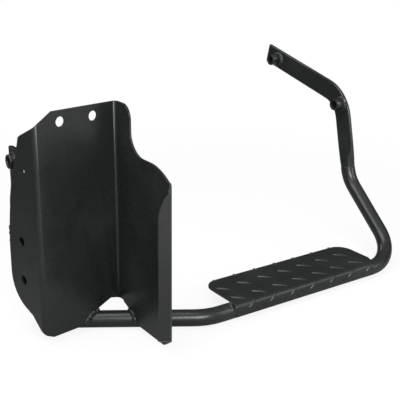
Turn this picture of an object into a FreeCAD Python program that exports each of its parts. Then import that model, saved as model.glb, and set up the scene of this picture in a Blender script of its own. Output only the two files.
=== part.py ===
import FreeCAD, Part
import math
import os

from FreeCAD import Placement, Rotation, Vector

# A welded cab step of black coated steel: a folded checker plate tread on a bent round tube,
# whose flattened ends carry bolt spacers, and a folded sheet bracket saddled on the tube.
# Millimetres. X runs along the tread, Y points away from the user, Z is up.

# Tread plate
TREAD_LENGTH = 300.0
TREAD_DEPTH = 93.0
TREAD_SHEET = 2.5
TREAD_BEND_RADIUS = 2.0
TREAD_CORNER_RADIUS = 26.0
APRON_HEIGHT = 21.0
APRON_END_RELIEF = 11.0
APRON_RELIEF_DEPTH = 19.0

# Raised lugs of the checker plate
LUG_LENGTH = 27.0
LUG_WIDTH = 6.5
LUG_CREST_WIDTH = 2.2
LUG_HEIGHT = 1.4
LUG_ANGLE = 34.0
LUG_PITCH_X = 41.6
LUG_PITCH_Y = 37.7
LUG_START_X = 16.0
LUG_START_Y = 20.2
LUG_EDGE_MARGIN = 0.6
LUG_ROOT = 0.5
LUG_SCRAP_VOLUME = 1.0

# Bent tube
TUBE_DIAMETER = 25.4
TUBE_WALL = 2.5
LARGE_BEND_RADIUS = 76.0
SMALL_BEND_RADIUS = 60.0
FRONT_OVERHANG = 42.5
RIGHT_OVERHANG = 1.2
LEFT_TOP_HEIGHT = 245.5
RISER_BACK = 128.0
RISER_ANGLE = 42.1
UPRIGHT_RISE = 144.5
UPRIGHT_ANGLE = 77.0
ARM_LENGTH = 215.0
ARM_ANGLE = 14.2

# Flattened tube ends
FLAT_THICKNESS = 7.0
FLATTEN_LENGTH = 42.0
UPRIGHT_ROUND_LENGTH = 1.0
LEFT_FLAT_LENGTH = 48.0
FLATTEN_STEPS = 3
SEAM_ANGLE = 40.0

# Bolt spacers
SPACER_DIAMETER = 20.0
SPACER_BORE = 13.5
SPACER_LENGTH = 20.0
LEFT_SPACER_LENGTH = 8.0
ARM_SPACER_FROM_END = 33.0
LEFT_SPACER_FROM_TOP = 17.5
ELBOW_SPACER_OUTSET = 7.5
ELBOW_SPACER_TURN = 22.0

# Folded side bracket
SHEET = 3.0
BEND_RADIUS = 4.0
BRACKET_LEFT = 140.5
BRACKET_BACK = 107.0
WEB_LENGTH = 135.0
WEB_ANGLE = 9.2
WING_LENGTH = 145.5
LIP_WIDTH = 24.0
FLANGE_WIDTH = 75.0
BRACKET_BOTTOM = -16.5
BRACKET_TOP = 306.5
TOP_CUT_WEB = 28.5
TOP_CUT_BEND = 18.0
TOP_CUT_FLANGE = 36.2
BOTTOM_CUT_WEB = 17.0
BOTTOM_CUT_BEND = 8.5
BOTTOM_CUT_FLANGE = 30.3
FLANGE_UPPER_WIDTH = 36.7
FLANGE_SLOPE_HEIGHT = 150.5
FLANGE_SLOPE_RADIUS = 380.0
FLANGE_TOP_RADIUS = 3.0
FLANGE_LOWER_WIDTH = 25.3
FLANGE_CORNER_RADIUS = 50.0
FLANGE_CORNER_HEIGHT = 32.7
NECK_WIDTH = 38.5
NECK_CORNER_RADIUS = 20.0
NECK_FILLET_RADIUS = 33.0
SHOULDER_HEIGHT = 239.0
SHOULDER_RADIUS = 83.0
SHOULDER_START = 88.0
LIP_CORNER_RADIUS = 45.0
LIP_CORNER_HEIGHT = 176.0
LOWER_CUT_LENGTH = 22.0
LOWER_CUT_FOLD = 16.0
LOWER_CUT_LIP = 6.0
NOTCH_BEND_HEIGHT = 7.5
NOTCH_WEB_PEAK = (16.0, 12.0)
NOTCH_WEB_SIDE = (38.5, 3.0)
NOTCH_WEB_FOOT = 68.0
NOTCH_WING_PEAK = (6.0, 7.5)
NOTCH_WING_SIDE = (22.5, 2.2)
NOTCH_WING_FOOT = 60.0
NOTCH_CORNER_RADIUS = 5.0
WEB_HOLE_COUNT = 2
WEB_HOLE_DIAMETER = 14.0
WEB_HOLE_INSET = 43.3
WEB_HOLE_PITCH = 53.4
WEB_HOLE_DROP = 15.5
FLANGE_HOLE_DIAMETER = 14.0
FLANGE_HOLE_INSET = 43.5
FLANGE_HOLE_HEIGHTS = (62.0, 120.5)
FLANGE_SMALL_HOLE_DIAMETER = 6.5
FLANGE_SMALL_HOLE_INSET = 28.0
FLANGE_SMALL_HOLE_HEIGHT = 225.0
LEG_INSET = 71.0

# Seats and weld beads
SEAT_CLEARANCE = 0.1
SPACER_WELD = 4.0
NOTCH_WELD = 5.0
NOTCH_WELD_REACH = 2.5
TREAD_WELD = 6.0
TREAD_WELD_SLOPE = 1.5
TREAD_WELD_LENGTH = 40.0
TREAD_WELD_COUNT = 3
FLANGE_WELD = 2.5
FLANGE_WELD_LENGTH = 60.0
FLANGE_WELD_HEIGHT = 105.0

# Construction reach of the cutting solids, well past the sheet on either side
REACH = 12.0
FAR = 600.0

TUBE_RADIUS = TUBE_DIAMETER / 2
TUBE_OFFSET = TREAD_SHEET + TUBE_RADIUS + SEAT_CLEARANCE
UP = Vector(0, 0, 1)


def heading(angle):
    """Unit vector in the plan, at an angle in degrees from the X axis."""
    return Vector(math.cos(math.radians(angle)), math.sin(math.radians(angle)), 0)


def climb(angle):
    """Unit vector in the YZ plane, at an angle in degrees above the Y axis."""
    return Vector(0, math.cos(math.radians(angle)), math.sin(math.radians(angle)))


def rounded_path(points, radii):
    """Edges along a chain of points, with an arc of the given radius at each inner point."""
    edges = []
    start = points[0]
    for before, corner, after, radius in zip(points, points[1:], points[2:], radii):
        back = (before - corner).normalize()
        ahead = (after - corner).normalize()
        half = back.getAngle(ahead) / 2
        if radius > 0:
            tangent = radius / math.tan(half)
            bisector = (back + ahead).normalize()
            centre = corner + bisector * (radius / math.sin(half))
            first = corner + back * tangent
            last = corner + ahead * tangent
            middle = centre - bisector * radius
            edges.append(Part.LineSegment(start, first).toShape())
            edges.append(Part.Arc(first, middle, last).toShape())
            start = last
        else:
            edges.append(Part.LineSegment(start, corner).toShape())
            start = corner
    edges.append(Part.LineSegment(start, points[-1]).toShape())
    return edges


def outline_face(points, radii):
    """Flat face inside a closed chain of points, whose inner corners may be rounded."""
    edges = rounded_path(points, radii)
    edges.append(Part.LineSegment(points[-1], points[0]).toShape())
    return Part.Face(Part.Wire(edges))


def tube_points():
    """Corner points of the tube's centre line, from the left top to the end of the arm."""
    front = Vector(-FRONT_OVERHANG, TUBE_OFFSET, -TUBE_OFFSET)
    left = leg_foot()
    right = Vector(TREAD_LENGTH + RIGHT_OVERHANG + SMALL_BEND_RADIUS, TUBE_OFFSET, -TUBE_OFFSET)
    knee = right + climb(RISER_ANGLE) * (RISER_BACK / math.cos(math.radians(RISER_ANGLE)))
    elbow = knee + climb(UPRIGHT_ANGLE) * (UPRIGHT_RISE / math.sin(math.radians(UPRIGHT_ANGLE)))
    arm_end = elbow + climb(ARM_ANGLE) * ARM_LENGTH
    left_top = Vector(left.x, left.y, LEFT_TOP_HEIGHT)
    return left_top, left, front, right, knee, elbow, arm_end


def leg_foot():
    """Where the left leg's centre line meets the lower run, tangent to the bracket's flange."""
    panels = bracket_panels()
    flange = panels["flange"]
    stand_off = SHEET + TUBE_RADIUS + SEAT_CLEARANCE
    foot = flange.point(LEG_INSET, 0, stand_off)
    return Vector(foot.x, foot.y, -TUBE_OFFSET)


def bend_tangent(radius, turn):
    """Length from a bend's corner to its tangent point."""
    return radius * math.tan(math.radians(turn) / 2)


def lower_run(radius):
    """Cylinder on the tube's centre line, from the left leg's bend to the front of the tread."""
    left, front = tube_points()[1:3]
    ahead = (front - left).normalize()
    start = left + ahead * bend_tangent(LARGE_BEND_RADIUS, 90)
    return Part.makeCylinder(radius, (front - start).Length, start, ahead)


def ring_section(centre, axis, radius):
    """Circle in four arcs, split where a flattened section has its corners."""
    across = Vector(1, 0, 0)
    along = axis.cross(across).normalize()
    seam = math.radians(SEAM_ANGLE)
    near = math.pi / 2
    far = 3 * math.pi / 2
    angles = [near - seam, near + seam, far - seam, far + seam]

    def at(angle):
        return centre + along * (radius * math.cos(angle)) + across * (radius * math.sin(angle))

    edges = []
    for index, start in enumerate(angles):
        end = angles[(index + 1) % len(angles)]
        if end < start:
            end += 2 * math.pi
        edges.append(Part.Arc(at(start), at((start + end) / 2), at(end)).toShape())
    return Part.Wire(edges)


def flat_section(centre, axis, thickness, width):
    """Flattened tube section: two straight sides joined by half rounds, thin along X."""
    across = Vector(1, 0, 0)
    along = axis.cross(across).normalize()
    half = thickness / 2
    straight = (width - thickness) / 2

    def at(u, v):
        return centre + along * u + across * v

    edges = [
        Part.LineSegment(at(straight, half), at(-straight, half)).toShape(),
        Part.Arc(at(-straight, half), at(-straight - half, 0), at(-straight, -half)).toShape(),
        Part.LineSegment(at(-straight, -half), at(straight, -half)).toShape(),
        Part.Arc(at(straight, -half), at(straight + half, 0), at(straight, half)).toShape(),
    ]
    return Part.Wire(edges)


def flat_width(thickness, diameter):
    """Width of a flattened tube whose girth is that of the round one."""
    return thickness + math.pi * (diameter - thickness) / 2


def flatten_loft(start, axis, diameter, thickness):
    """Transition from the round section to the flattened one, eased at both ends."""
    sections = [ring_section(start, axis, diameter / 2)]
    for step in range(1, FLATTEN_STEPS + 1):
        share = step / FLATTEN_STEPS
        eased = share * share * (3 - 2 * share)
        depth = diameter + (thickness - diameter) * eased
        centre = start + axis * (FLATTEN_LENGTH * share)
        sections.append(flat_section(centre, axis, depth, flat_width(depth, diameter)))
    return Part.makeLoft(sections, True, False)


def bent_run(points, radii, section):
    """Solids of a section carried along straight runs that are joined by round bends."""
    pieces = []
    start = points[0]
    for before, corner, after, radius in zip(points, points[1:], points[2:], radii):
        ahead = (corner - before).normalize()
        onward = (after - corner).normalize()
        turn = ahead.getAngle(onward)
        tangent = radius * math.tan(turn / 2)
        first = corner - ahead * tangent
        centre = corner + (onward - ahead).normalize() * (radius / math.cos(turn / 2))
        pieces.append(section(start, ahead).extrude(first - start))
        pieces.append(section(first, ahead).revolve(centre, ahead.cross(onward), math.degrees(turn)))
        start = corner + onward * tangent
    pieces.append(section(start, onward).extrude(points[-1] - start))
    return pieces


def tube_solid(diameter, thickness):
    """Solid along the whole centre line, for the outside or the inside of the tube."""
    left_top, left, front, right, knee, elbow, arm_end = tube_points()
    width = flat_width(thickness, diameter)
    up = climb(UPRIGHT_ANGLE)
    left_flat = left_top - UP * LEFT_FLAT_LENGTH
    left_round = left_flat - UP * FLATTEN_LENGTH
    knee_exit = bend_tangent(SMALL_BEND_RADIUS, UPRIGHT_ANGLE - RISER_ANGLE)
    upright_round = knee + up * (knee_exit + UPRIGHT_ROUND_LENGTH)
    upright_flat = upright_round + up * FLATTEN_LENGTH

    def round_face(centre, axis):
        return Part.Face(Part.Wire(Part.makeCircle(diameter / 2, centre, axis)))

    def flat_face(centre, axis):
        return Part.Face(flat_section(centre, axis, thickness, width))

    pieces = bent_run(
        [left_round, left, front, right, knee, upright_round],
        [LARGE_BEND_RADIUS, LARGE_BEND_RADIUS, SMALL_BEND_RADIUS, SMALL_BEND_RADIUS],
        round_face,
    )
    pieces += bent_run([upright_flat, elbow, arm_end], [SMALL_BEND_RADIUS], flat_face)
    pieces.append(flatten_loft(left_round, UP, diameter, thickness))
    pieces.append(flatten_loft(upright_round, up, diameter, thickness))
    pieces.append(flat_face(left_flat, UP).extrude(UP * LEFT_FLAT_LENGTH))
    return pieces[0].multiFuse(pieces[1:])


def elbow_centre():
    """Centre of the elbow's bend."""
    elbow = tube_points()[5]
    half_turn = math.radians(UPRIGHT_ANGLE - ARM_ANGLE) / 2
    inward = (climb(ARM_ANGLE) - climb(UPRIGHT_ANGLE)).normalize()
    return elbow + inward * (SMALL_BEND_RADIUS / math.cos(half_turn))


def spacer_seats():
    """Centre of each spacer's seat on the flattened tube, with the spacer's length."""
    left_top, *_, arm_end = tube_points()
    face = Vector(-FLAT_THICKNESS / 2, 0, 0)
    arm = arm_end - climb(ARM_ANGLE) * ARM_SPACER_FROM_END
    outward = climb(UPRIGHT_ANGLE + 90 - ELBOW_SPACER_TURN)
    corner = elbow_centre() + outward * (SMALL_BEND_RADIUS + ELBOW_SPACER_OUTSET)
    top = left_top - UP * LEFT_SPACER_FROM_TOP
    return {
        "arm_end_spacer": (arm + face, SPACER_LENGTH),
        "elbow_spacer": (corner + face, SPACER_LENGTH),
        "left_end_spacer": (top + face, LEFT_SPACER_LENGTH),
    }


def spacer(seat, length):
    """Turned spacer with a plain bolt bore, standing on the tube towards minus X."""
    direction = Vector(-1, 0, 0)
    body = Part.makeCylinder(SPACER_DIAMETER / 2, length, seat, direction)
    bore = Part.makeCylinder(SPACER_BORE / 2, length, seat, direction)
    return body.cut(bore)


def spacer_weld(seat):
    """Fillet weld round the foot of a spacer."""
    radius = SPACER_DIAMETER / 2
    direction = Vector(-1, 0, 0)
    bead = Part.makeCone(radius + SPACER_WELD, radius, SPACER_WELD, seat, direction)
    return bead.cut(Part.makeCylinder(radius, SPACER_WELD, seat, direction))


def step_tube():
    """Bent tube with both ends pressed flat and drilled for the bolts."""
    outside = tube_solid(TUBE_DIAMETER, FLAT_THICKNESS)
    inside = tube_solid(TUBE_DIAMETER - 2 * TUBE_WALL, FLAT_THICKNESS - 2 * TUBE_WALL)
    tube = outside.cut(inside)
    holes = []
    for seat, _ in spacer_seats().values():
        holes.append(Part.makeCylinder(SPACER_BORE / 2, FLAT_THICKNESS, seat, Vector(1, 0, 0)))
    return tube.cut(holes)


class Panel:
    """A flat part of the folded bracket, with U along it, Z up and its depth into the sheet."""

    def __init__(self, origin, along, inward):
        self.origin = origin
        self.along = along
        self.inward = inward

    def point(self, u, z, depth=0.0):
        return self.origin + self.along * u + self.inward * depth + UP * z

    def prism(self, outline, radii):
        """Solid through the sheet, over an outline given as U and Z."""
        points = [self.point(u, z, -REACH) for u, z in outline]
        return outline_face(points, radii).extrude(self.inward * (2 * REACH + SHEET))

    def drill(self, u, z, diameter):
        return Part.makeCylinder(diameter / 2, 2 * REACH, self.point(u, z, -REACH), self.inward)


def bracket_panels():
    """The four panels of the bracket, each from the bend that it starts at."""
    web_heading = heading(WEB_ANGLE)
    flange_heading = heading(WEB_ANGLE + 90)
    back_bend = Vector(-BRACKET_LEFT, BRACKET_BACK, 0)
    left_bend = back_bend - web_heading * WEB_LENGTH
    front_bend = back_bend - Vector(0, WING_LENGTH, 0)
    right = Vector(1, 0, 0)
    return {
        "flange": Panel(left_bend, flange_heading, web_heading),
        "web": Panel(left_bend, web_heading, flange_heading),
        "notch_web": Panel(back_bend, -web_heading, flange_heading),
        "wing": Panel(back_bend, Vector(0, -1, 0), right),
        "lip": Panel(front_bend + right * SHEET, -right, Vector(0, 1, 0)),
    }


def offset_corner(corner, inward_one, inward_two, distance):
    """Corner of two sheet faces moved inwards by a distance."""
    total = inward_one + inward_two
    return corner + total * (distance / (1 + inward_one.dot(inward_two)))


def bracket_strip():
    """The folded sheet at full height, before its edges are trimmed."""
    panels = bracket_panels()
    flange, web, wing, lip = (panels[name] for name in ("flange", "web", "wing", "lip"))
    lip_back = Vector(wing.origin.x, lip.origin.y + SHEET, 0)
    near = [
        flange.point(FLANGE_WIDTH, 0),
        flange.origin,
        wing.origin,
        lip_back,
        lip.point(LIP_WIDTH, 0, SHEET),
    ]
    far = [
        flange.point(FLANGE_WIDTH, 0, SHEET),
        offset_corner(flange.origin, flange.inward, web.inward, SHEET),
        offset_corner(wing.origin, web.inward, wing.inward, SHEET),
        lip.origin,
        lip.point(LIP_WIDTH, 0),
    ]
    outer = BEND_RADIUS + SHEET
    near_edges = rounded_path(near, [outer, BEND_RADIUS, BEND_RADIUS])
    far_edges = rounded_path(far, [BEND_RADIUS, outer, outer])
    ends = [
        Part.LineSegment(near[0], far[0]).toShape(),
        Part.LineSegment(near[-1], far[-1]).toShape(),
    ]
    wire = Part.Wire(Part.__sortEdges__(near_edges + far_edges + ends))
    strip = Part.Face(wire).extrude(UP * (BRACKET_TOP - BRACKET_BOTTOM))
    strip.translate(UP * BRACKET_BOTTOM)
    return strip


def half_space(first, second, third, side):
    """Large block on one side of the plane through three points."""
    normal = (second - first).cross(third - first).normalize()
    if normal.dot(side) < 0:
        normal = -normal
    block = Part.makeBox(FAR, FAR, FAR, Vector(-FAR / 2, -FAR / 2, 0))
    block.Placement = Placement(first, Rotation(UP, normal))
    return block


def flange_cuts(panels):
    """Slanted corners across the left bend, and the curved back edge of the flange."""
    flange, web = panels["flange"], panels["web"]
    top_flange = BRACKET_TOP - TOP_CUT_FLANGE
    bottom_flange = BRACKET_BOTTOM + BOTTOM_CUT_FLANGE
    upper = half_space(
        web.point(TOP_CUT_WEB, BRACKET_TOP),
        web.point(0, BRACKET_TOP - TOP_CUT_BEND),
        flange.point(FLANGE_UPPER_WIDTH, top_flange),
        UP,
    )
    lower = half_space(
        web.point(BOTTOM_CUT_WEB, BRACKET_BOTTOM),
        web.point(0, BRACKET_BOTTOM + BOTTOM_CUT_BEND),
        flange.point(FLANGE_LOWER_WIDTH, bottom_flange),
        -UP,
    )
    kept_corner = flange.prism(
        [
            (FLANGE_LOWER_WIDTH, BRACKET_BOTTOM - REACH),
            (FLANGE_LOWER_WIDTH, BRACKET_TOP),
            (FLANGE_WIDTH + REACH, BRACKET_TOP),
            (FLANGE_WIDTH + REACH, BRACKET_BOTTOM - REACH),
        ],
        [0, 0],
    )
    back_edge = flange.prism(
        [
            (FLANGE_UPPER_WIDTH, BRACKET_TOP + REACH),
            (FLANGE_UPPER_WIDTH, top_flange),
            (FLANGE_WIDTH, FLANGE_SLOPE_HEIGHT),
            (FLANGE_WIDTH, FLANGE_CORNER_HEIGHT),
            (FLANGE_LOWER_WIDTH, bottom_flange),
            (FLANGE_LOWER_WIDTH, BRACKET_BOTTOM - REACH),
            (FLANGE_WIDTH + REACH, BRACKET_BOTTOM - REACH),
            (FLANGE_WIDTH + REACH, BRACKET_TOP + REACH),
        ],
        [FLANGE_TOP_RADIUS, FLANGE_SLOPE_RADIUS, FLANGE_CORNER_RADIUS, 0, 0, 0],
    )
    return [upper, lower.cut(kept_corner), back_edge]


def wing_cuts(panels):
    """Neck, shoulder and lower corner of the wing and its lip."""
    wing, lip = panels["wing"], panels["lip"]
    bend = BEND_RADIUS + SHEET
    over = BRACKET_TOP + REACH
    fold = WING_LENGTH - bend

    def shoulder(u):
        return SHOULDER_HEIGHT - SHOULDER_RADIUS + math.sqrt(SHOULDER_RADIUS**2 - (u - SHOULDER_START) ** 2)

    def lip_edge(u):
        return LIP_CORNER_HEIGHT + math.sqrt(LIP_CORNER_RADIUS**2 - (u - LIP_WIDTH + LIP_CORNER_RADIUS) ** 2)

    neck_top = NECK_WIDTH - NECK_CORNER_RADIUS
    half_fold = (SHOULDER_START + fold) / 2
    outline = rounded_path(
        [
            wing.point(neck_top - REACH, BRACKET_TOP, -REACH),
            wing.point(NECK_WIDTH, BRACKET_TOP, -REACH),
            wing.point(NECK_WIDTH, SHOULDER_HEIGHT, -REACH),
            wing.point(SHOULDER_START, SHOULDER_HEIGHT, -REACH),
        ],
        [NECK_CORNER_RADIUS, NECK_FILLET_RADIUS],
    )
    outline.append(
        Part.Arc(
            wing.point(SHOULDER_START, SHOULDER_HEIGHT, -REACH),
            wing.point(half_fold, shoulder(half_fold), -REACH),
            wing.point(fold, shoulder(fold), -REACH),
        ).toShape()
    )
    closing = [
        wing.point(fold, shoulder(fold), -REACH),
        wing.point(fold, over, -REACH),
        wing.point(neck_top - REACH, over, -REACH),
        wing.point(neck_top - REACH, BRACKET_TOP, -REACH),
    ]
    outline += rounded_path(closing, [0, 0])
    wing_top = Part.Face(Part.Wire(outline)).extrude(wing.inward * (2 * REACH + SHEET))

    lip_start = lip_edge(bend)
    lip_middle = (bend + LIP_WIDTH) / 2
    lip_outline = [
        Part.Arc(
            lip.point(bend, lip_start, -REACH),
            lip.point(lip_middle, lip_edge(lip_middle), -REACH),
            lip.point(LIP_WIDTH, LIP_CORNER_HEIGHT, -REACH),
        ).toShape()
    ]
    lip_closing = [
        lip.point(LIP_WIDTH, LIP_CORNER_HEIGHT, -REACH),
        lip.point(LIP_WIDTH + REACH, LIP_CORNER_HEIGHT, -REACH),
        lip.point(LIP_WIDTH + REACH, over, -REACH),
        lip.point(bend, over, -REACH),
        lip.point(bend, lip_start, -REACH),
    ]
    lip_outline += rounded_path(lip_closing, [0, 0, 0])
    lip_top = Part.Face(Part.Wire(lip_outline)).extrude(lip.inward * (2 * REACH + SHEET))

    wing_end = wing.point(fold, shoulder(fold))
    lip_end = lip.point(bend, lip_start)
    chord = Vector(lip_end.x - wing_end.x, lip_end.y - wing_end.y, 0)
    level = wing_end + chord.cross(UP)
    bend_zone = Part.makeBox(bend, bend, over, Vector(wing.origin.x - BEND_RADIUS, lip.origin.y, 0))
    bend_top = half_space(wing_end, lip_end, level, UP).common(bend_zone)

    corner = half_space(
        wing.point(WING_LENGTH - LOWER_CUT_LENGTH, BRACKET_BOTTOM),
        wing.point(WING_LENGTH, BRACKET_BOTTOM + LOWER_CUT_FOLD),
        lip.point(LIP_WIDTH, BRACKET_BOTTOM + LOWER_CUT_FOLD + LOWER_CUT_LIP),
        -UP,
    )
    return [wing_top, lip_top, bend_top, corner]


def notch_cuts(panels):
    """Saddle notch over the tube, centred on the back bend, with the tube's own clearance."""
    below = BRACKET_BOTTOM - REACH
    corner = NOTCH_CORNER_RADIUS
    sides = {
        "notch_web": (NOTCH_WEB_PEAK, NOTCH_WEB_SIDE, NOTCH_WEB_FOOT),
        "wing": (NOTCH_WING_PEAK, NOTCH_WING_SIDE, NOTCH_WING_FOOT),
    }
    cuts = [lower_run(TUBE_RADIUS + SEAT_CLEARANCE)]
    for name, (peak, side, foot) in sides.items():
        top = [(-REACH, NOTCH_BEND_HEIGHT), (0, NOTCH_BEND_HEIGHT), peak, side]
        outline = top + [(foot, BRACKET_BOTTOM), (foot, below), (-REACH, below)]
        cuts.append(panels[name].prism(outline, [0, corner, corner, 0, 0]))
    return cuts


def bracket_holes(panels):
    """Bolt holes along the top of the web and down the flange."""
    web, flange = panels["web"], panels["flange"]
    height = BRACKET_TOP - WEB_HOLE_DROP
    holes = []
    for index in range(WEB_HOLE_COUNT):
        holes.append(web.drill(WEB_HOLE_INSET + index * WEB_HOLE_PITCH, height, WEB_HOLE_DIAMETER))
    for level in FLANGE_HOLE_HEIGHTS:
        holes.append(flange.drill(FLANGE_HOLE_INSET, level, FLANGE_HOLE_DIAMETER))
    holes.append(flange.drill(FLANGE_SMALL_HOLE_INSET, FLANGE_SMALL_HOLE_HEIGHT, FLANGE_SMALL_HOLE_DIAMETER))
    return holes


def side_bracket():
    """Bracket folded from one sheet: flange, web, wing and stiffening lip."""
    panels = bracket_panels()
    tools = flange_cuts(panels) + wing_cuts(panels) + notch_cuts(panels) + bracket_holes(panels)
    return bracket_strip().cut(tools)


def lens(width, height):
    """Outline at a height, between two arcs that meet in the lug's points."""
    left = Vector(-LUG_LENGTH / 2, 0, height)
    right = Vector(LUG_LENGTH / 2, 0, height)
    back = Part.Arc(left, Vector(0, width / 2, height), right).toShape()
    front = Part.Arc(right, Vector(0, -width / 2, height), left).toShape()
    return Part.Wire([back, front])


def lug():
    """One raised lug along X: sloped sides, and a crest that falls to a point at both ends."""
    flare = (LUG_WIDTH - LUG_CREST_WIDTH) * LUG_ROOT / LUG_HEIGHT
    root = lens(LUG_WIDTH + flare, -LUG_ROOT)
    crest = lens(LUG_CREST_WIDTH, LUG_HEIGHT)
    sides = Part.makeLoft([root, crest], True, True)
    spine = ((LUG_LENGTH / 2) ** 2 + LUG_HEIGHT**2) / (2 * LUG_HEIGHT)
    axle = Vector(0, -LUG_WIDTH, LUG_HEIGHT - spine)
    return sides.common(Part.makeCylinder(spine, 2 * LUG_WIDTH, axle, Vector(0, 1, 0)))


def lug_centres(low, high):
    """Centres of the lugs of both slants whose middle lies in a band of the unrolled plate."""
    centres = []
    columns = int(TREAD_LENGTH / LUG_PITCH_X) + 2
    rows = int((TREAD_DEPTH + APRON_HEIGHT) / LUG_PITCH_Y) + 3
    for slant, shift in ((-1, 0.0), (1, 0.5)):
        for row in range(-2, rows):
            v = LUG_START_Y + (row + shift) * LUG_PITCH_Y
            if not low - LUG_WIDTH < v < high + LUG_WIDTH:
                continue
            for column in range(-1, columns):
                u = LUG_START_X + (column + shift) * LUG_PITCH_X
                centres.append((u, v, slant))
    return centres


def lugs_within(outline, low, high):
    """Lugs laid over a flat outline and trimmed to it."""
    pattern = lug()
    trimmed = []
    for u, v, slant in lug_centres(low, high):
        copy = pattern.copy()
        copy.Placement = Placement(Vector(u, v, 0), Rotation(UP, slant * LUG_ANGLE))
        piece = copy.common(outline)
        if piece.Volume > LUG_SCRAP_VOLUME:
            trimmed.append(piece)
    return trimmed


def tread_outline(margin, front, height):
    """Plan of the tread, shrunk by a margin, as a slab of some height either side of Z = 0."""
    right = TREAD_LENGTH - margin
    back = TREAD_DEPTH - margin
    points = [
        Vector(TREAD_LENGTH / 2, front, -height),
        Vector(right - APRON_END_RELIEF, front, -height),
        Vector(right, APRON_RELIEF_DEPTH, -height),
        Vector(right, back, -height),
        Vector(margin, back, -height),
        Vector(margin, front, -height),
    ]
    face = outline_face(points, [0, 0, TREAD_CORNER_RADIUS, TREAD_CORNER_RADIUS])
    return face.extrude(UP * (2 * height))


def tread_plate():
    """Checker plate tread: a flat top with rounded back corners and a folded front apron."""
    outer = TREAD_BEND_RADIUS + TREAD_SHEET
    profile = [
        Vector(0, TREAD_DEPTH, 0),
        Vector(0, 0, 0),
        Vector(0, 0, -APRON_HEIGHT),
        Vector(0, TREAD_SHEET, -APRON_HEIGHT),
        Vector(0, TREAD_SHEET, -TREAD_SHEET),
        Vector(0, TREAD_DEPTH, -TREAD_SHEET),
    ]
    section = outline_face(profile, [outer, 0, 0, TREAD_BEND_RADIUS])
    folded = section.extrude(Vector(TREAD_LENGTH, 0, 0))
    plate = folded.common(tread_outline(0.0, 0.0, APRON_HEIGHT + TREAD_SHEET))
    top_zone = tread_outline(LUG_EDGE_MARGIN, outer, TREAD_SHEET)
    top_lugs = lugs_within(top_zone, 0.0, TREAD_DEPTH)
    apron_zone = Part.makeBox(
        TREAD_LENGTH - APRON_END_RELIEF - 2 * LUG_EDGE_MARGIN,
        APRON_HEIGHT - outer - LUG_EDGE_MARGIN,
        2 * TREAD_SHEET,
        Vector(LUG_EDGE_MARGIN, LUG_EDGE_MARGIN - APRON_HEIGHT, -TREAD_SHEET),
    )
    apron_lugs = lugs_within(apron_zone, -APRON_HEIGHT, 0.0)
    for piece in apron_lugs:
        piece.rotate(Vector(0, 0, 0), Vector(1, 0, 0), 90)
    return plate.multiFuse(top_lugs + apron_lugs)


def notch_weld(panel, far_side):
    """Bead that joins one side of the notch to the tube, wrapped round the tube's upper side."""
    left, front = tube_points()[1:3]
    run = front - left
    share = (panel.origin - left).dot(panel.inward) / run.dot(panel.inward)
    u = (left + run * share - panel.origin).dot(panel.along)
    half = NOTCH_WELD_REACH
    collar = lower_run(TUBE_RADIUS + NOTCH_WELD).cut(lower_run(TUBE_RADIUS))
    outline = [
        panel.point(u, BRACKET_BOTTOM, -half),
        panel.point(far_side, BRACKET_BOTTOM, -half),
        panel.point(far_side, NOTCH_BEND_HEIGHT, -half),
        panel.point(u, NOTCH_BEND_HEIGHT, -half),
    ]
    slab = outline_face(outline, [0, 0]).extrude(panel.inward * (SHEET + 2 * half))
    return collar.common(slab)


def notch_welds(bracket):
    """Beads on both sides of the notch, cut to the bracket's own faces."""
    panels = bracket_panels()
    web = notch_weld(panels["notch_web"], NOTCH_WEB_FOOT).cut(bracket)
    wing = notch_weld(panels["wing"], NOTCH_WING_FOOT).cut(bracket)
    return {"notch_weld_web": web, "notch_weld_wing": wing}


def tread_welds():
    """Stitches behind the tube, under the tread."""
    under = -TREAD_SHEET
    along = Vector(1, 0, 0)
    spacing = TREAD_LENGTH / TREAD_WELD_COUNT
    stitches = {}
    for index in range(TREAD_WELD_COUNT):
        x = spacing * (index + 0.5) - TREAD_WELD_LENGTH / 2
        points = [
            Vector(x, TUBE_OFFSET, under),
            Vector(x, TUBE_OFFSET + TUBE_RADIUS, under),
            Vector(x, TUBE_OFFSET + TUBE_RADIUS - TREAD_WELD_SLOPE, under - TREAD_WELD),
        ]
        wedge = outline_face(points, [0]).extrude(along * TREAD_WELD_LENGTH)
        tube = Part.makeCylinder(TUBE_RADIUS, TREAD_WELD_LENGTH, Vector(x, TUBE_OFFSET, -TUBE_OFFSET), along)
        stitches[f"tread_weld_{index + 1}"] = wedge.cut(tube)
    return stitches


def flange_weld(bracket):
    """Bead between the flange's back edge and the left leg."""
    panels = bracket_panels()
    foot = leg_foot()
    low = FLANGE_WELD_HEIGHT - FLANGE_WELD_LENGTH / 2
    start = panels["flange"].point(FLANGE_WIDTH, low, SHEET)
    bead = Part.makeCylinder(FLANGE_WELD, FLANGE_WELD_LENGTH, start, UP)
    leg = Part.makeCylinder(TUBE_RADIUS, FLANGE_WELD_LENGTH, Vector(foot.x, foot.y, low), UP)
    return bead.cut([leg, bracket])


def build():
    """Every piece of the step by name, where it sits on the tread's own axes."""
    bracket = side_bracket()
    nodes = {
        "side_bracket": bracket,
        "step_tube": step_tube(),
        "tread_plate": tread_plate(),
        "flange_weld": flange_weld(bracket),
    }
    nodes.update(tread_welds())
    nodes.update(notch_welds(bracket))
    for name, (seat, length) in spacer_seats().items():
        nodes[name] = spacer(seat, length)
        nodes[name + "_weld"] = spacer_weld(seat)
    return nodes


def origin():
    """Reference point of the part: the mouth of the arm end spacer, where it meets the cab."""
    seat, length = spacer_seats()["arm_end_spacer"]
    return seat - Vector(length, 0, 0)


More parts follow.
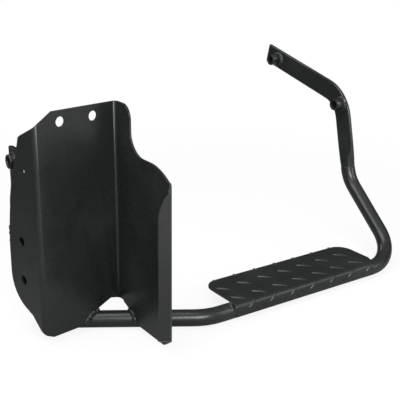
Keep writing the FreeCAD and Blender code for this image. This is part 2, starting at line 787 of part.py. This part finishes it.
os.makedirs("parts", exist_ok=True)
shift = -origin()
print("origin", origin())
for node, shape in build().items():
    shape.translate(shift)
    box = shape.BoundBox
    print(
        f"{node}: solids {len(shape.Solids)}, volume {shape.Volume / 1000:.2f} cm3, valid {shape.isValid()}, "
        f"x {box.XMin:.1f}..{box.XMax:.1f} y {box.YMin:.1f}..{box.YMax:.1f} z {box.ZMin:.1f}..{box.ZMax:.1f}"
    )
    shape.exportStep(f"parts/{node}.step")
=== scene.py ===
import math

import bmesh
import bpy
from mathutils import Matrix, Vector


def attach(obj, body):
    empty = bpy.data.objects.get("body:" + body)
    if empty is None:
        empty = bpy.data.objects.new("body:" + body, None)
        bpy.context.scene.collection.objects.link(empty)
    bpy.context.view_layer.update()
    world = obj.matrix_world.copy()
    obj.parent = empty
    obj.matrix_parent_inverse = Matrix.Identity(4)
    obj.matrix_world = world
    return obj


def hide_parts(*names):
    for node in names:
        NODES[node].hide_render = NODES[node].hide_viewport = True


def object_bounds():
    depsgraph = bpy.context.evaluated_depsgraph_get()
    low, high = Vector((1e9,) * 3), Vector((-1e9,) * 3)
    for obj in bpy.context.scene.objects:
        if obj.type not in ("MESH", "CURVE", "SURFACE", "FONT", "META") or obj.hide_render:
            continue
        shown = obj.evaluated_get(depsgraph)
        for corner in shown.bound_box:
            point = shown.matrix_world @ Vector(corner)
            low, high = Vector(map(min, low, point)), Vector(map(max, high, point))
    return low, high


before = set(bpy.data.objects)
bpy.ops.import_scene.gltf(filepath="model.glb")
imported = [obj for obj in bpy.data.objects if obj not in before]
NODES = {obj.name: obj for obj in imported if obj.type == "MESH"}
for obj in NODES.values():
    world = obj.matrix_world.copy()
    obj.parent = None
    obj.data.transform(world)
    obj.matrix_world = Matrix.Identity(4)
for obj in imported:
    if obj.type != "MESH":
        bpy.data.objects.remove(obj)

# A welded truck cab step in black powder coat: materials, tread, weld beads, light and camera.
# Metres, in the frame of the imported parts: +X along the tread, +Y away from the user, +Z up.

CAD_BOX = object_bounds()

# Powder coat colours, as linear light, and where each lies on the uneven film
COAT_DARK = (0.0110, 0.0135, 0.0126, 1.0)
COAT_PLAIN = (0.0138, 0.0165, 0.0155, 1.0)
COAT_DUSTY = (0.0250, 0.0285, 0.0272, 1.0)
COAT_STOPS = ((0.30, COAT_DARK), (0.55, COAT_PLAIN), (0.80, COAT_DUSTY))
COAT_IOR = 1.5

# Noise of the coat, as scale, detail and roughness
FILM_NOISE = (9.0, 4.0, 0.55)
PATCH_NOISE = (26.0, 5.0, 0.6)
WAVE_NOISE = (45.0, 2.0, 0.5)
RIPPLE_NOISE = (330.0, 2.0, 0.5)
GRAIN_NOISE = (900.0, 2.0, 0.6)

# How far the patches change the roughness, and the relief of waves, weld ripples and orange peel
PATCH_RANGE = (0.3, 0.7)
PATCH_GLOSS = -0.05
PATCH_DULL = 0.07
WAVE_DEPTH = 0.0006
RIPPLE_DEPTH = 0.0012
GRAIN_DEPTH = 0.00012

# Each coat's roughness, and its strength of orange peel, waves, reflection and weld ripples
COATS = {
    "bracket": (0.27, 0.20, 0.10, 0.50, 0.0),
    "tube": (0.27, 0.10, 0.08, 0.50, 0.0),
    "tread": (0.34, 0.22, 0.16, 0.42, 0.0),
    "lug": (0.29, 0.06, 0.05, 0.50, 0.0),
    "spacer": (0.27, 0.22, 0.10, 0.50, 0.0),
    "weld": (0.22, 0.25, 0.20, 0.50, 0.5),
}

# Rounding of cut edges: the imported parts, and the tread sheet built here
JOIN_DISTANCE = 0.000001
EDGE_ROUND = 0.0006
EDGE_SEGMENTS = 2
EDGE_ANGLE = 32.0
TREAD_EDGE_SEGMENTS = 3
TREAD_EDGE_ANGLE = 60.0

# Lumps of the weld beads: a higher middle sinks them, as on the bead at the step's outer side
BEAD_VOXEL = 0.0005
BEAD_LUMP_SIZE = 0.0035
BEAD_LUMP_LAYERS = 1
BEAD_LUMP = 0.0030
BEAD_MIDDLE = 0.35
OUTER_BEAD_MIDDLE = 0.60

# Tread sheet, from its front left corner, and the tube under it
TREAD_PLACE = Vector((-0.3377, -0.3530995, -0.2895028))
TREAD_LENGTH = 0.300
TREAD_DEPTH = 0.093
TREAD_SHEET = 0.0025
TREAD_CORNER = 0.026
FOLD_RADIUS = 0.0075
APRON_HEIGHT = 0.021
APRON_RELIEF = 0.011
APRON_RELIEF_DEPTH = 0.019
TUBE_RADIUS = 0.0127
TUBE_OFFSET = 0.0153

# Mesh of the tread sheet
TREAD_COLUMNS = 60
CORNER_TURNS = range(0, 90, 9)
FLAT_ROWS = 8
FLAT_ROW_PITCH = 0.006
HALF_FOLD_ROWS = 6

# Raised lugs: their size and form, where each slant's pattern starts, and how far they keep from the edges
LUG_LENGTH = 0.027
LUG_WIDTH = 0.0056
LUG_HEIGHT = 0.0022
LUG_SUNK = 0.0002
LUG_SWELL = 0.45
LUG_TIP = 0.08
LUG_ANGLE = 43.0
LUG_PITCH = (0.0416, 0.0377)
LUG_START = (0.016, 0.0202)
LUG_CROSS_START = (0.0307, -0.0034)
LUG_MARGIN = 0.0006
LUG_FOOT_MARGIN = 0.0035
LUG_ROWS = range(-2, 4)
LUG_COLUMNS = range(-1, 9)
LUG_STEPS = 18
LUG_RING = 12

# Weld between the tread's left end and the tube
END_WELD_LENGTH = 0.0055
END_WELD_OVERLAP = 0.002
END_WELD_SUNK = 0.0003
END_WELD_HOLLOW = 1.6
END_WELD_WALL = 0.0006
END_WELD_ROWS = 30
END_WELD_ROW_PITCH = 0.0012
END_WELD_STEPS = 8

# Camera, solved from the photograph
LENS = 73.56
SENSOR_WIDTH = 36.0
CLIP_START = 0.05
CLIP_END = 50.0
AZIMUTH = -34.81
ELEVATION = 18.805
ROLL = 0.0109
CAMERA_PLACE = (-1.0160, -1.2282, 0.2524)

# Floor: its greys behind and in front of the step, a painted shade for every ray but the camera's, darker
# behind and paler in front, and how white the camera sees it, near and far
FLOOR_HALF_WIDTH = 6.0
FLOOR_DROP = 0.0005
FLOOR_ROUGHNESS = 0.9
FLOOR_FRONT = (0.54, -0.84, 0.0)
FLOOR_PAINTED_SHADE_GREYS = (0.08, 0.50)
FLOOR_PAINTED_SHADE_REACH = (-0.6, 0.5)
FLOOR_WHITE = (0.95, 0.95, 0.95, 1.0)
FLOOR_CAMERA_SHARE = 0.85
FLOOR_FADE = (0.45, 1.10)
FLOOR_GLOSSY_SHARE = 0.05

# Surroundings: their rise towards overhead, and a glow in front
WORLD_LOW = 0.05
WORLD_HIGH = 0.30
WORLD_RISE = (0.40, 0.95)
WORLD_FRONT = (-0.54, -0.78, 0.32)
WORLD_FRONT_GLOW = 0.45
WORLD_FRONT_REACH = (0.1, 0.9)
WORLD_GLOSSY_SHARE = 0.04
WHITE = (1.0, 1.0, 1.0, 1.0)

# Soft panels: name, place, aim, width, height and power
PANELS = (
    ("overhead", (-1.06, -0.30, 1.10), (-0.2, -0.2, -0.15), 0.9, 1.7, 16.5),
    ("right", (0.83, -1.58, 0.55), (-0.1, -0.25, -0.25), 0.7, 1.3, 9.0),
    ("front", (-0.90, -2.00, 0.72), (-0.2, -0.25, -0.2), 0.9, 0.9, 26.0),
    ("back", (-0.45, 1.35, 1.25), (-0.2, -0.2, -0.15), 0.9, 0.8, 5.0),
)

# Sockets of a mix node by its kind: first, second and result
MIX_SOCKETS = {"FLOAT": (2, 3, 0), "RGBA": (6, 7, 2)}


class Nodes:
    """Small helper that adds and links shader nodes."""

    def __init__(self, owner):
        owner.use_nodes = True
        self.tree = owner.node_tree
        self.shader = self.tree.nodes.get("Principled BSDF")

    def add(self, kind, **settings):
        node = self.tree.nodes.new("ShaderNode" + kind)
        for name, value in settings.items():
            setattr(node, name, value)
        return node

    def feed(self, source, target):
        """Links another node's output, or sets a plain value."""
        if isinstance(source, bpy.types.NodeSocket):
            self.tree.links.new(source, target)
        else:
            target.default_value = source

    def noise(self, coordinates, scale, detail, roughness):
        node = self.add("TexNoise")
        self.feed(coordinates, node.inputs["Vector"])
        self.feed(scale, node.inputs["Scale"])
        self.feed(detail, node.inputs["Detail"])
        self.feed(roughness, node.inputs["Roughness"])
        return node.outputs["Fac"]

    def ramp(self, value, stops):
        node = self.add("ValToRGB")
        ramp = node.color_ramp
        while len(ramp.elements) < len(stops):
            ramp.elements.new(0.5)
        for element, (place, colour) in zip(ramp.elements, stops):
            element.position = place
            element.color = colour
        self.feed(value, node.inputs["Fac"])
        return node.outputs["Color"]

    def span(self, value, low, high, start, end):
        """Carries the range from start to end over to the range from low to high."""
        node = self.add("MapRange")
        self.feed(value, node.inputs["Value"])
        self.feed(start, node.inputs["From Min"])
        self.feed(end, node.inputs["From Max"])
        self.feed(low, node.inputs["To Min"])
        self.feed(high, node.inputs["To Max"])
        return node.outputs["Result"]

    def bump(self, height, strength, distance, normal=None):
        node = self.add("Bump")
        self.feed(height, node.inputs["Height"])
        self.feed(strength, node.inputs["Strength"])
        self.feed(distance, node.inputs["Distance"])
        if normal is not None:
            self.feed(normal, node.inputs["Normal"])
        return node.outputs["Normal"]

    def calculate(self, kind, operation, *values):
        """Result of a Math or VectorMath node."""
        node = self.add(kind, operation=operation)
        for value, socket in zip(values, node.inputs):
            self.feed(value, socket)
        return node.outputs["Value"]

    def mix(self, kind, share, first, second):
        """Blend of two numbers or two colours."""
        node = self.add("Mix", data_type=kind)
        first_socket, second_socket, result = MIX_SOCKETS[kind]
        self.feed(share, node.inputs[0])
        self.feed(first, node.inputs[first_socket])
        self.feed(second, node.inputs[second_socket])
        return node.outputs[result]

    def white_share(self, camera_share, glossy_share):
        """How much of a ray sees the white background, by the kind of ray."""
        rays = self.add("LightPath").outputs
        seen = self.calculate("Math", "MULTIPLY", rays["Is Camera Ray"], camera_share)
        mirrored = self.calculate("Math", "MAXIMUM", rays["Is Glossy Ray"], rays["Is Transmission Ray"])
        return self.calculate("Math", "MULTIPLY_ADD", mirrored, glossy_share, seen)


def powder_coat(name, rough, peel, waves, specular, ripple):
    """Satin black powder coat: orange peel, soft waves, and a faint uneven film."""
    material = bpy.data.materials.new(name)
    nodes = Nodes(material)
    place = nodes.add("TexCoord").outputs["Object"]
    colour = nodes.ramp(nodes.noise(place, *FILM_NOISE), COAT_STOPS)
    patches = nodes.noise(place, *PATCH_NOISE)
    roughness = nodes.span(patches, rough + PATCH_GLOSS, rough + PATCH_DULL, *PATCH_RANGE)
    normal = nodes.bump(nodes.noise(place, *WAVE_NOISE), waves, WAVE_DEPTH)
    if ripple:
        normal = nodes.bump(nodes.noise(place, *RIPPLE_NOISE), ripple, RIPPLE_DEPTH, normal)
    normal = nodes.bump(nodes.noise(place, *GRAIN_NOISE), peel, GRAIN_DEPTH, normal)
    nodes.feed(colour, nodes.shader.inputs["Base Color"])
    nodes.feed(roughness, nodes.shader.inputs["Roughness"])
    nodes.feed(normal, nodes.shader.inputs["Normal"])
    nodes.feed(COAT_IOR, nodes.shader.inputs["IOR"])
    nodes.feed(specular, nodes.shader.inputs["Specular IOR Level"])
    return material


def round_edges(piece, segments, angle):
    """Rounds the cut edges of a piece and keeps its flat faces flat."""
    edge = piece.modifiers.new("edges", "BEVEL")
    edge.width = EDGE_ROUND
    edge.segments = segments
    edge.limit_method = "ANGLE"
    edge.angle_limit = math.radians(angle)
    edge.harden_normals = True


def finish_node(node, material):
    """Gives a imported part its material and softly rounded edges."""
    node.data.materials.clear()
    node.data.materials.append(material)
    weld = node.modifiers.new("join", "WELD")
    weld.merge_threshold = JOIN_DISTANCE
    round_edges(node, EDGE_SEGMENTS, EDGE_ANGLE)


def finish_bead(node, material, texture, middle):
    """Gives a weld bead its material and a lumpy surface."""
    node.data.materials.clear()
    node.data.materials.append(material)
    skin = node.modifiers.new("skin", "REMESH")
    skin.mode = "VOXEL"
    skin.voxel_size = BEAD_VOXEL
    skin.use_smooth_shade = True
    lumps = node.modifiers.new("lumps", "DISPLACE")
    lumps.texture = texture
    lumps.texture_coords = "LOCAL"
    lumps.mid_level = middle
    lumps.strength = BEAD_LUMP


def bead_texture():
    """Soft lumps of the weld beads."""
    texture = bpy.data.textures.new("bead_lumps", "CLOUDS")
    texture.noise_scale = BEAD_LUMP_SIZE
    texture.noise_depth = BEAD_LUMP_LAYERS
    return texture


def dress_nodes(coats):
    """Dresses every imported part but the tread, which is built here."""
    texture = bead_texture()
    for name, node in NODES.items():
        if name == "side_bracket":
            finish_node(node, coats["bracket"])
        elif name == "step_tube":
            finish_node(node, coats["tube"])
        elif name.endswith("spacer"):
            finish_node(node, coats["spacer"])
        elif name == "flange_weld":
            finish_bead(node, coats["weld"], texture, OUTER_BEAD_MIDDLE)
        elif name != "tread_plate":
            finish_bead(node, coats["weld"], texture, BEAD_MIDDLE)


def smooth_object(name, shape):
    """Turns a bmesh into a smooth shaded object in the scene."""
    bmesh.ops.recalc_face_normals(shape, faces=shape.faces)
    mesh = bpy.data.meshes.new(name)
    shape.to_mesh(mesh)
    shape.free()
    mesh.polygons.foreach_set("use_smooth", [True] * len(mesh.polygons))
    piece = bpy.data.objects.new(name, mesh)
    bpy.context.scene.collection.objects.link(piece)
    return piece


def join_rows(shape, rows):
    """Faces between each row of points and the next."""
    for first, second in zip(rows, rows[1:]):
        for i in range(len(first) - 1):
            shape.faces.new((first[i], first[i + 1], second[i + 1], second[i]))


def fold_turn(v):
    """Angle round the fold at a depth: 0 at the top's edge, a right angle at the apron's, and more below."""
    return math.radians(90) * (FOLD_RADIUS - v) / (2 * FOLD_RADIUS)


def tread_point(x, v, lift=0.0):
    """Point over the folded plate: v is the depth on the top, and less than zero down the apron."""
    if v > FOLD_RADIUS:
        local = Vector((x, v, lift))
    elif v < -FOLD_RADIUS:
        local = Vector((x, -lift, v))
    else:
        turn = fold_turn(v)
        reach = FOLD_RADIUS + lift
        local = Vector((x, FOLD_RADIUS - reach * math.sin(turn), reach * math.cos(turn) - FOLD_RADIUS))
    return local + TREAD_PLACE


def tread_span(v):
    """Left and right end of the plate at a depth, with round back corners and a relief at the front right.

    The relief is deepest at the fold and lessens down the apron, so the apron's end leans outwards.
    """
    into = v - (TREAD_DEPTH - TREAD_CORNER)
    inset = 0.0
    if into > 0:
        inset = TREAD_CORNER - math.sqrt(max(0.0, TREAD_CORNER**2 - into**2))
    plan = v
    if v <= FOLD_RADIUS:
        plan = FOLD_RADIUS * (1 - math.sin(fold_turn(v)))
    relief = APRON_RELIEF * max(0.0, 1 - plan / APRON_RELIEF_DEPTH)
    return inset, TREAD_LENGTH - max(inset, relief)


def tread_rows():
    """Depths of the rows of the plate, from the back edge to the foot of the apron."""
    corner = [TREAD_DEPTH - TREAD_CORNER * (1 - math.cos(math.radians(turn))) for turn in CORNER_TURNS]
    flat = [TREAD_DEPTH - TREAD_CORNER - i * FLAT_ROW_PITCH for i in range(FLAT_ROWS)]
    fold = [FOLD_RADIUS * (1 - i / HALF_FOLD_ROWS) for i in range(2 * HALF_FOLD_ROWS + 1)]
    return corner + flat + fold + [-APRON_HEIGHT]


def build_tread_sheet():
    """Folded tread sheet with a soft fold."""
    shape = bmesh.new()
    rows = []
    for v in tread_rows():
        left, right = tread_span(v)
        steps = [left + (right - left) * i / TREAD_COLUMNS for i in range(TREAD_COLUMNS + 1)]
        rows.append([shape.verts.new(tread_point(x, v)) for x in steps])
    join_rows(shape, rows)
    piece = smooth_object("tread_sheet", shape)
    wall = piece.modifiers.new("wall", "SOLIDIFY")
    wall.thickness = TREAD_SHEET
    wall.offset = -1.0
    round_edges(piece, TREAD_EDGE_SEGMENTS, TREAD_EDGE_ANGLE)
    return piece


def lug_places():
    """Middle and slant of each raised lug on the unrolled plate."""
    for slant, start in ((-1, LUG_START), (1, LUG_CROSS_START)):
        for row in LUG_ROWS:
            for column in LUG_COLUMNS:
                yield start[0] + column * LUG_PITCH[0], start[1] + row * LUG_PITCH[1], slant


def on_tread(x, v):
    """Whether a spot on a lug's middle line lies on the plate, clear of its edges."""
    if not LUG_FOOT_MARGIN - APRON_HEIGHT < v < TREAD_DEPTH - LUG_MARGIN / 2:
        return False
    left, right = tread_span(v)
    return left + LUG_MARGIN < x < right - LUG_MARGIN


def add_lug(shape, x, v, slant):
    """One raised lug: a long lens with a rounded crest, cut where the plate ends."""
    angle = math.radians(slant * LUG_ANGLE)
    along = Vector((math.cos(angle), math.sin(angle)))
    across = Vector((-along.y, along.x))
    ends = [-1 + 2 * i / LUG_STEPS for i in range(LUG_STEPS + 1)]
    kept = [t for t in ends if on_tread(x + along.x * t * LUG_LENGTH / 2, v + along.y * t * LUG_LENGTH / 2)]
    rings = []
    for t in kept:
        swell = (1 - t * t) ** LUG_SWELL
        ring = []
        for i in range(LUG_RING + 1):
            q = -1 + 2 * i / LUG_RING
            side = q * LUG_WIDTH / 2 * (LUG_TIP + (1 - LUG_TIP) * swell)
            spot = Vector((x, v)) + along * (t * LUG_LENGTH / 2) + across * side
            lift = LUG_HEIGHT * swell * math.cos(math.radians(90) * q) - LUG_SUNK
            ring.append(shape.verts.new(tread_point(spot.x, spot.y, lift)))
        rings.append(ring)
    join_rows(shape, rings)
    if len(rings) > 1:
        shape.faces.new(rings[0][::-1])
        shape.faces.new(rings[-1])


def build_lugs():
    """Raised lugs of the checker plate."""
    shape = bmesh.new()
    for x, v, slant in lug_places():
        add_lug(shape, x, v, slant)
    return smooth_object("tread_lugs", shape)


def build_end_weld():
    """Weld that fills the seam between the tread's left end and the tube."""
    shape = bmesh.new()
    centre = TREAD_PLACE + Vector((0, TUBE_OFFSET, -TUBE_OFFSET))
    rows = []
    for row in range(END_WELD_ROWS):
        rim = tread_point(0.0, TUBE_OFFSET + END_WELD_OVERLAP - row * END_WELD_ROW_PITCH, -END_WELD_SUNK)
        spoke = rim - centre
        seat = centre + spoke.normalized() * (TUBE_RADIUS - END_WELD_SUNK)
        points = []
        for i in range(END_WELD_STEPS + 1):
            t = i / END_WELD_STEPS
            spot = seat.lerp(rim, t**END_WELD_HOLLOW)
            spot.x = TREAD_PLACE.x - END_WELD_LENGTH * (1 - t)
            points.append(shape.verts.new(spot))
        rows.append(points)
    join_rows(shape, rows)
    piece = smooth_object("tread_end_weld", shape)
    wall = piece.modifiers.new("wall", "SOLIDIFY")
    wall.thickness = END_WELD_WALL
    wall.offset = 0.0
    return piece


def build_tread(coats):
    """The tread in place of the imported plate: its sheet, its lugs and the weld at its left end."""
    tread_sheet = build_tread_sheet()
    for piece, material, slot in (
        (tread_sheet, coats["tread"], "tread"),
        (build_lugs(), coats["lug"], "tread"),
        (build_end_weld(), coats["weld"], "weld"),
    ):
        piece.data.materials.append(material)
        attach(piece, "root")
    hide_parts("tread_plate")


def view_axes(azimuth, elevation, roll):
    """Right, up and back vectors of a view: the first two angles in degrees, the roll in radians."""
    a = math.radians(azimuth)
    e = math.radians(elevation)
    right = Vector((math.cos(a), math.sin(a), 0))
    back = Vector((math.sin(a) * math.cos(e), -math.cos(a) * math.cos(e), math.sin(e)))
    up = back.cross(right)
    rolled_right = right * math.cos(roll) + up * math.sin(roll)
    rolled_up = up * math.cos(roll) - right * math.sin(roll)
    return rolled_right, rolled_up, back


def add_camera():
    """Camera at the photograph's place."""
    data = bpy.data.cameras.new("photo_camera")
    data.lens = LENS
    data.sensor_width = SENSOR_WIDTH
    data.clip_start = CLIP_START
    data.clip_end = CLIP_END
    camera = bpy.data.objects.new("photo_camera", data)
    turn = Matrix(view_axes(AZIMUTH, ELEVATION, ROLL)).transposed()
    camera.matrix_world = Matrix.Translation(CAMERA_PLACE) @ turn.to_4x4()
    bpy.context.scene.collection.objects.link(camera)
    bpy.context.scene.camera = camera


def floor_material():
    """Near white to the camera, with a soft shadow near the step, and mostly grey to other rays, a grey with
    painted shade: darker behind the step and paler in front.
    """
    material = bpy.data.materials.new("floor_white")
    nodes = Nodes(material)
    place = nodes.add("TexCoord").outputs["Object"]
    ahead = nodes.calculate("VectorMath", "DOT_PRODUCT", place, FLOOR_FRONT)
    # Painted shade: for every ray but the camera's, the floor's grey darkens behind the step and pales in
    # front, as if lit from the front
    grey = nodes.span(ahead, *FLOOR_PAINTED_SHADE_GREYS, *FLOOR_PAINTED_SHADE_REACH)
    camera_ray = nodes.add("LightPath").outputs["Is Camera Ray"]
    nodes.feed(nodes.mix("RGBA", camera_ray, grey, FLOOR_WHITE), nodes.shader.inputs["Base Color"])
    nodes.feed(FLOOR_ROUGHNESS, nodes.shader.inputs["Roughness"])
    distance = nodes.calculate("VectorMath", "LENGTH", place)
    fade = nodes.span(distance, FLOOR_CAMERA_SHARE, 1.0, *FLOOR_FADE)
    mixed = nodes.add("MixShader")
    nodes.feed(nodes.white_share(fade, FLOOR_GLOSSY_SHARE), mixed.inputs[0])
    nodes.feed(nodes.shader.outputs["BSDF"], mixed.inputs[1])
    nodes.feed(nodes.add("Emission").outputs["Emission"], mixed.inputs[2])
    nodes.feed(mixed.outputs["Shader"], nodes.tree.nodes["Material Output"].inputs["Surface"])
    return material


def add_floor():
    """Floor just under the step."""
    low, high = CAD_BOX
    mesh = bpy.data.meshes.new("floor")
    shape = bmesh.new()
    bmesh.ops.create_grid(shape, x_segments=1, y_segments=1, size=FLOOR_HALF_WIDTH)
    shape.to_mesh(mesh)
    shape.free()
    mesh.materials.append(floor_material())
    floor = bpy.data.objects.new("floor", mesh)
    floor.location = ((low.x + high.x) / 2, (low.y + high.y) / 2, low.z - FLOOR_DROP)
    bpy.context.scene.collection.objects.link(floor)


def add_world():
    """Studio surroundings: white to the camera, and to the step dim low down, paler overhead and in front."""
    world = bpy.data.worlds.new("studio")
    bpy.context.scene.world = world
    nodes = Nodes(world)
    outward = nodes.add("TexCoord").outputs["Generated"]
    split = nodes.add("SeparateXYZ")
    nodes.feed(outward, split.inputs["Vector"])
    above = nodes.span(split.outputs["Z"], WORLD_LOW, WORLD_HIGH, *WORLD_RISE)
    facing = nodes.calculate("VectorMath", "DOT_PRODUCT", outward, WORLD_FRONT)
    ahead = nodes.span(facing, 0.0, WORLD_FRONT_GLOW, *WORLD_FRONT_REACH)
    glow = nodes.calculate("Math", "ADD", above, ahead)
    share = nodes.white_share(1.0, WORLD_GLOSSY_SHARE)
    background = nodes.tree.nodes["Background"]
    nodes.feed(WHITE, background.inputs["Color"])
    nodes.feed(nodes.mix("FLOAT", share, glow, 1.0), background.inputs["Strength"])


def soft_panel(name, place, target, width, height, power):
    """Soft rectangular studio light aimed at a point."""
    data = bpy.data.lights.new(name, "AREA")
    data.shape = "RECTANGLE"
    data.size = width
    data.size_y = height
    data.energy = power
    light = bpy.data.objects.new(name, data)
    light.location = place
    light.rotation_mode = "QUATERNION"
    light.rotation_quaternion = (Vector(target) - Vector(place)).to_track_quat("-Z", "Y")
    bpy.context.scene.collection.objects.link(light)


coats = {name: powder_coat(name + "_coat", *values) for name, values in COATS.items()}
dress_nodes(coats)
build_tread(coats)
add_camera()
add_floor()
add_world()
for panel in PANELS:
    soft_panel(*panel)
bpy.context.scene.view_settings.view_transform = "Standard"

bpy.context.view_layer.update()
